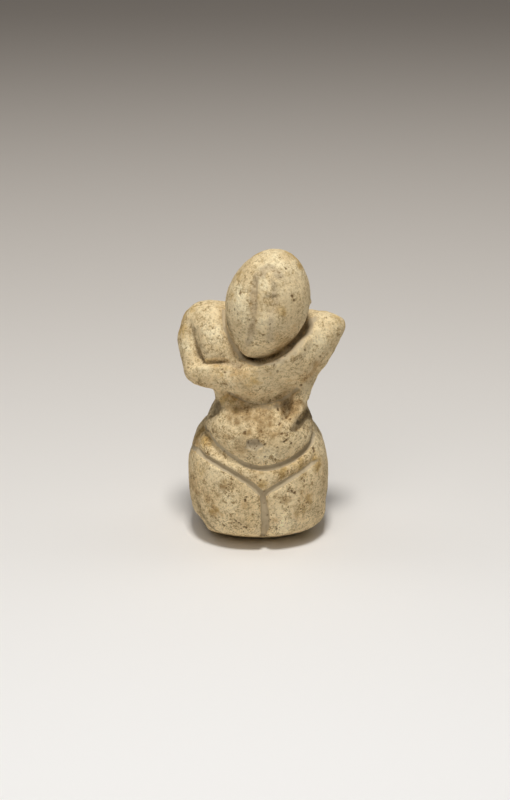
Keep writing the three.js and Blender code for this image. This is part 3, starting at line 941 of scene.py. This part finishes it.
behind = ease((skin.outward[:, 1] + 0.15) / 0.5) * (1 - seen)
for name, (size, seed, strength) in HIDDEN_STAINS.items():
    mask = skin.mask(name)
    mask[:] = np.maximum(mask, ease(lumps(size * MM, seed) / 0.45) * behind * strength)
print("masks:", sorted(skin.masks))

# %% [markdown]
# ## The moved skin
#
# Only now do the points move: out by the swellings, in by the cuts, and along the sight lines near the
# chin. In the photograph a dark crescent lies under the front edge, because that edge doesn't reach the
# floor, so the rim is lifted and tucked back a little here, and nothing goes below the floor.

# %% Move the points
RIM_LIFT = 1.1 * MM
RIM_TUCK = 0.6 * MM
RIM_HIGH = 6.0 * MM
RIM_FRONT = -4.0 * MM

moved = skin.points + drift + skin.outward * (skin.swell - skin.cut)[:, None]
low = ease((RIM_HIGH - moved[:, 2]) / (5.0 * MM))
tucked = low * ease((RIM_FRONT - moved[:, 1]) / (6.0 * MM))
moved[:, 2] += tucked * RIM_LIFT
moved[:, 1] += tucked * RIM_TUCK
moved[:, 2] = np.maximum(moved[:, 2], 0)
figure.data.vertices.foreach_set("co", moved.ravel())
figure.data.update()
for name, values in skin.masks.items():
    attribute = figure.data.attributes.new(name, "FLOAT", "POINT")
    attribute.data.foreach_set("value", values.astype(np.float32))
bpy.ops.object.shade_smooth()
print("moved in by up to", round((skin.cut - skin.swell).max() / MM, 2), "mm")

# %% [markdown]
# ## The finish
#
# The colour is built as it came about: the buff clay with broad and fine mottling, paler where it was
# rubbed, tan and ochre where the ground stained it, with the tan also standing for painted shade on the
# belly and jaw, and grey as painted shade in the face's hollows and on the forearm. An image could hold
# it, but noise keeps its detail at any distance and needs no file. Each stain's edge is broken up with
# the same mottling, because dirt never ends in an even line.

# %% Patterns of the clay
clay = Finish("worn_clay")
where = clay.place()


def moved_by(shift):
    """The same place moved by some metres, so that two noises of one size don't match."""
    offset = (shift, -shift, shift / 2)
    return clay.node("ShaderNodeVectorMath", {"operation": "ADD"}, {0: where, 1: offset})


broad = clay.noise(where, 6 * MM, 3.0)
mottle = clay.noise(where, 1.6 * MM, 4.0, 0.6)
speckle = clay.noise(moved_by(0.1), 0.62 * MM, 3.0, 0.7, 0.3)
grains = clay.noise(moved_by(0.2), 0.34 * MM, 2.0, 0.7)
grit = clay.noise(moved_by(0.3), 3.2 * MM, 3.0)
blotches = clay.noise(moved_by(0.4), 2.8 * MM, 2.0, 0.5)
print("patterns:", len(clay.tree.nodes), "nodes")

# %% Colour of the clay
BUFF = paint(214, 190, 146)
LIGHT_BUFF = paint(228, 209, 169)
RUBBED = paint(239, 223, 184)
TAN_AND_SHADE = paint(188, 157, 110)
OCHRE = paint(190, 155, 88)
SHADE_GREY = paint(172, 154, 126)


def ragged(name, spread):
    """A painted mask whose edge is broken up by the mottling."""
    return clay.painted(name) + mottle * spread - spread / 2


colour = clay.mix((broad * 0.5 + mottle * 0.5).between(0.36, 0.66), BUFF, LIGHT_BUFF)
colour = clay.mix(ragged("pale", 1.6).between(0.0, 1.0), colour, RUBBED)
# Painted shade: the tan mask also darkens the belly under the arms and the right of the jaw.
colour = clay.mix(ragged("tan_and_shade", 1.6).between(0.0, 1.0), colour, TAN_AND_SHADE)
colour = clay.mix(ragged("ochre", 2.0).between(0.0, 0.9) * 0.72, colour, OCHRE)
# Painted shade: grey darkens the face's hollows and the forearm's top.
colour = clay.mix(ragged("grey", 1.0).between(0.0, 1.0) * 0.6, colour, SHADE_GREY)
print("colours mixed:", len(clay.tree.nodes), "nodes")

# %% [markdown]
# ## Grain, dirt and painted shade
#
# Seen close, the clay is a mixture of light and dark grains of several sizes, rougher low on the figure
# than on the head, which hands have smoothed. One pattern of light and dark drives the colour and the
# bump, so that a dark grain is also a small hole. Darker grains turn browner, not just darker, so the
# tint takes more blue and green away as it darkens. Dirt and painted shade come last, over everything.

# %% Grain of the worn surface
HOLE = paint(126, 92, 52)
FIGURE_HIGH = 0.074
EVEN_GRAIN = 0.56

in_groove = (clay.painted("groove") + (mottle - 0.5) * 0.6).between(0.25, 0.75)
worn = (1 - in_groove * 0.75) * (0.65 + grit.between(0.35, 0.65) * 0.5)
height_of = clay.node("ShaderNodeSeparateXYZ", {}, {0: where}, "Z")
worn = worn * (1.4 - height_of * (1 / FIGURE_HIGH) * 0.6)

light_and_dark = grains.between(0.32, 0.68) * 0.36 + speckle.between(0.36, 0.64) * 0.38
light_and_dark = light_and_dark + mottle.between(0.36, 0.64) * 0.24 + blotches.between(0.38, 0.62) * 0.22
value = 1.05 + (light_and_dark - EVEN_GRAIN).at_most(0.16) * worn * 1.2
shade = value.at_most(1.0)
channels = {0: value, 1: value * shade ** 0.25, 2: value * shade ** 0.7}
tint = clay.node("ShaderNodeCombineColor", {}, channels)
colour = clay.mix(1.0, colour, tint, "MULTIPLY")
holes = (1 - speckle.between(0.28, 0.38)) * worn
colour = clay.mix(holes * 0.5, colour, HOLE)
print("grain added:", len(clay.tree.nodes), "nodes")

# %% Dirt in the grooves and pits, and painted shade in the hollows
LINE_FLOOR = paint(190, 174, 145)
SOIL_AND_SHADE = paint(104, 85, 56)
PIT_FLOOR = paint(108, 80, 44)

colour = clay.mix(in_groove * 0.8, colour, LINE_FLOOR)
# The soil colour is partly real soil and partly painted shade in the slots, creases, jaw sides, arm valley
# and broken corner.
colour = clay.mix(ragged("soil_and_shade", 1.4).between(0.0, 1.0) * 0.85, colour, SOIL_AND_SHADE)
colour = clay.mix((clay.painted("pits") * 1.1).between(0.15, 1.0) * 0.85, colour, PIT_FLOOR)
clay.fill(clay.shader, {"Base Color": colour, "Roughness": 0.78 + grains * 0.2})
clay.shader.inputs["Specular IOR Level"].default_value = 0.25

relief = (light_and_dark - holes * 0.6) * (1 - in_groove * 0.7)
bump = clay.node("ShaderNodeBump", {}, {"Strength": 0.9, "Distance": 0.14 * MM, "Height": relief})
clay.fill(clay.shader, {"Normal": bump})
figure.data.materials.append(clay.material)
print("clay finish:", len(clay.tree.nodes), "nodes")

# %% Ride on the frame
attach(figure, "root")
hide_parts("figurine")
